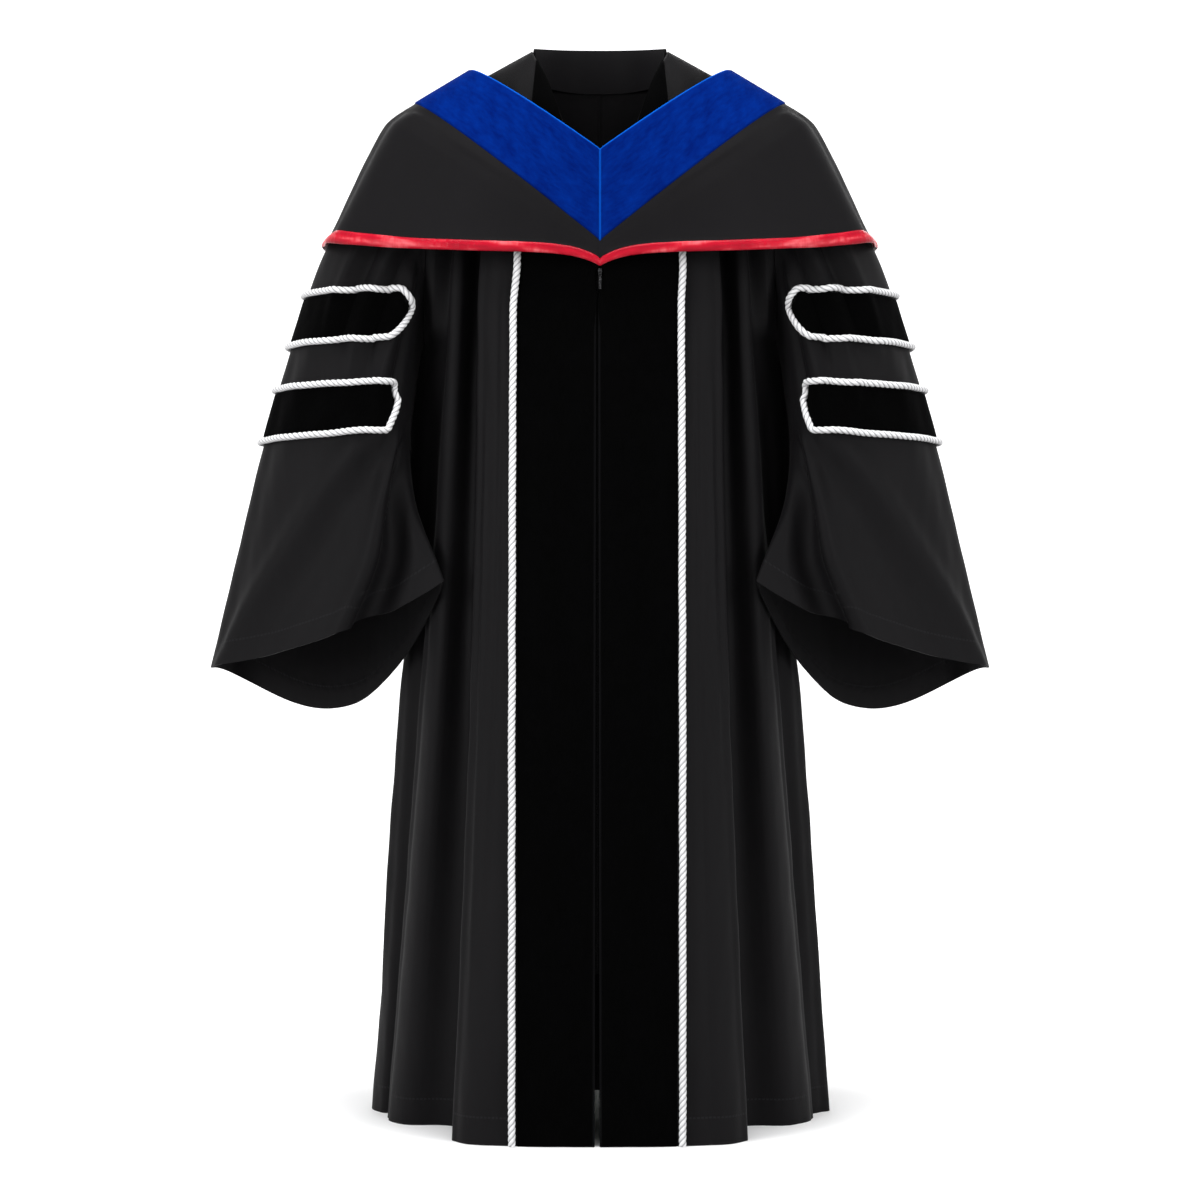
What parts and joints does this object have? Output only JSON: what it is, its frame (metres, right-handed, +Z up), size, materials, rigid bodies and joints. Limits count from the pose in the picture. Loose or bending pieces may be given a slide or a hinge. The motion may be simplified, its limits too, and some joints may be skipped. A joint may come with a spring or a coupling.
{
  "type": "graduation gown",
  "caption": "Long black doctoral gown with bell sleeves, corded velvet facings and sleeve bars, a front zip and a velvet-edged hood cape; hollow, in its worn shape.",
  "frame": {"origin": "seat on the wearer's shoulders at the base of the neck, between the two neck ends of the shoulder seams and just below them", "axes": "+Z up; the front of the gown faces -Y; +X is the wearer's left"},
  "size_m": [1.0114, 0.4448, 1.3998],
  "materials": {
    "gown_cloth": "matt black polyester cloth with a slight sheen",
    "black_velvet": "deep black velvet",
    "white_cord": "twisted white cord",
    "hood_cloth": "matt dark cloth",
    "blue_velvet": "royal blue velvet",
    "red_satin": "glossy red satin",
    "zip_tape": "woven black zip tape",
    "zip_metal": "dark enamelled metal"
  },
  "bodies": {
    "gown": {"gown_front_left": "gown_cloth", "gown_front_right": "gown_cloth", "gown_back_left": "gown_cloth", "gown_back_right": "gown_cloth", "sleeve_left": "gown_cloth", "sleeve_right": "gown_cloth", "front_velvet_left": "black_velvet", "front_velvet_right": "black_velvet", "front_cord_left": "white_cord", "front_cord_right": "white_cord", "bar_upper_left": "black_velvet", "bar_upper_right": "black_velvet", "bar_lower_left": "black_velvet", "bar_lower_right": "black_velvet", "bar_cord_upper_left": "white_cord", "bar_cord_upper_right": "white_cord", "bar_cord_lower_left": "white_cord", "bar_cord_lower_right": "white_cord", "hood_velvet_left": "blue_velvet", "hood_velvet_right": "blue_velvet", "hood_cape_left": "hood_cloth", "hood_cape_right": "hood_cloth", "hood_trim_left": "red_satin", "hood_trim_right": "red_satin", "collar_band": "gown_cloth", "zip_tape": "zip_tape", "zip_slider": "zip_metal"},
    "pull_tab": {"zip_pull": "zip_metal"}
  },
  "joints": [
    {"name": "pull_swing", "type": "hinge", "parent": "gown", "child": "pull_tab", "pos_m": [0, -0.1613, -0.2825], "axis": [-1, 0, 0], "range_deg": [0, 90]}
  ]
}
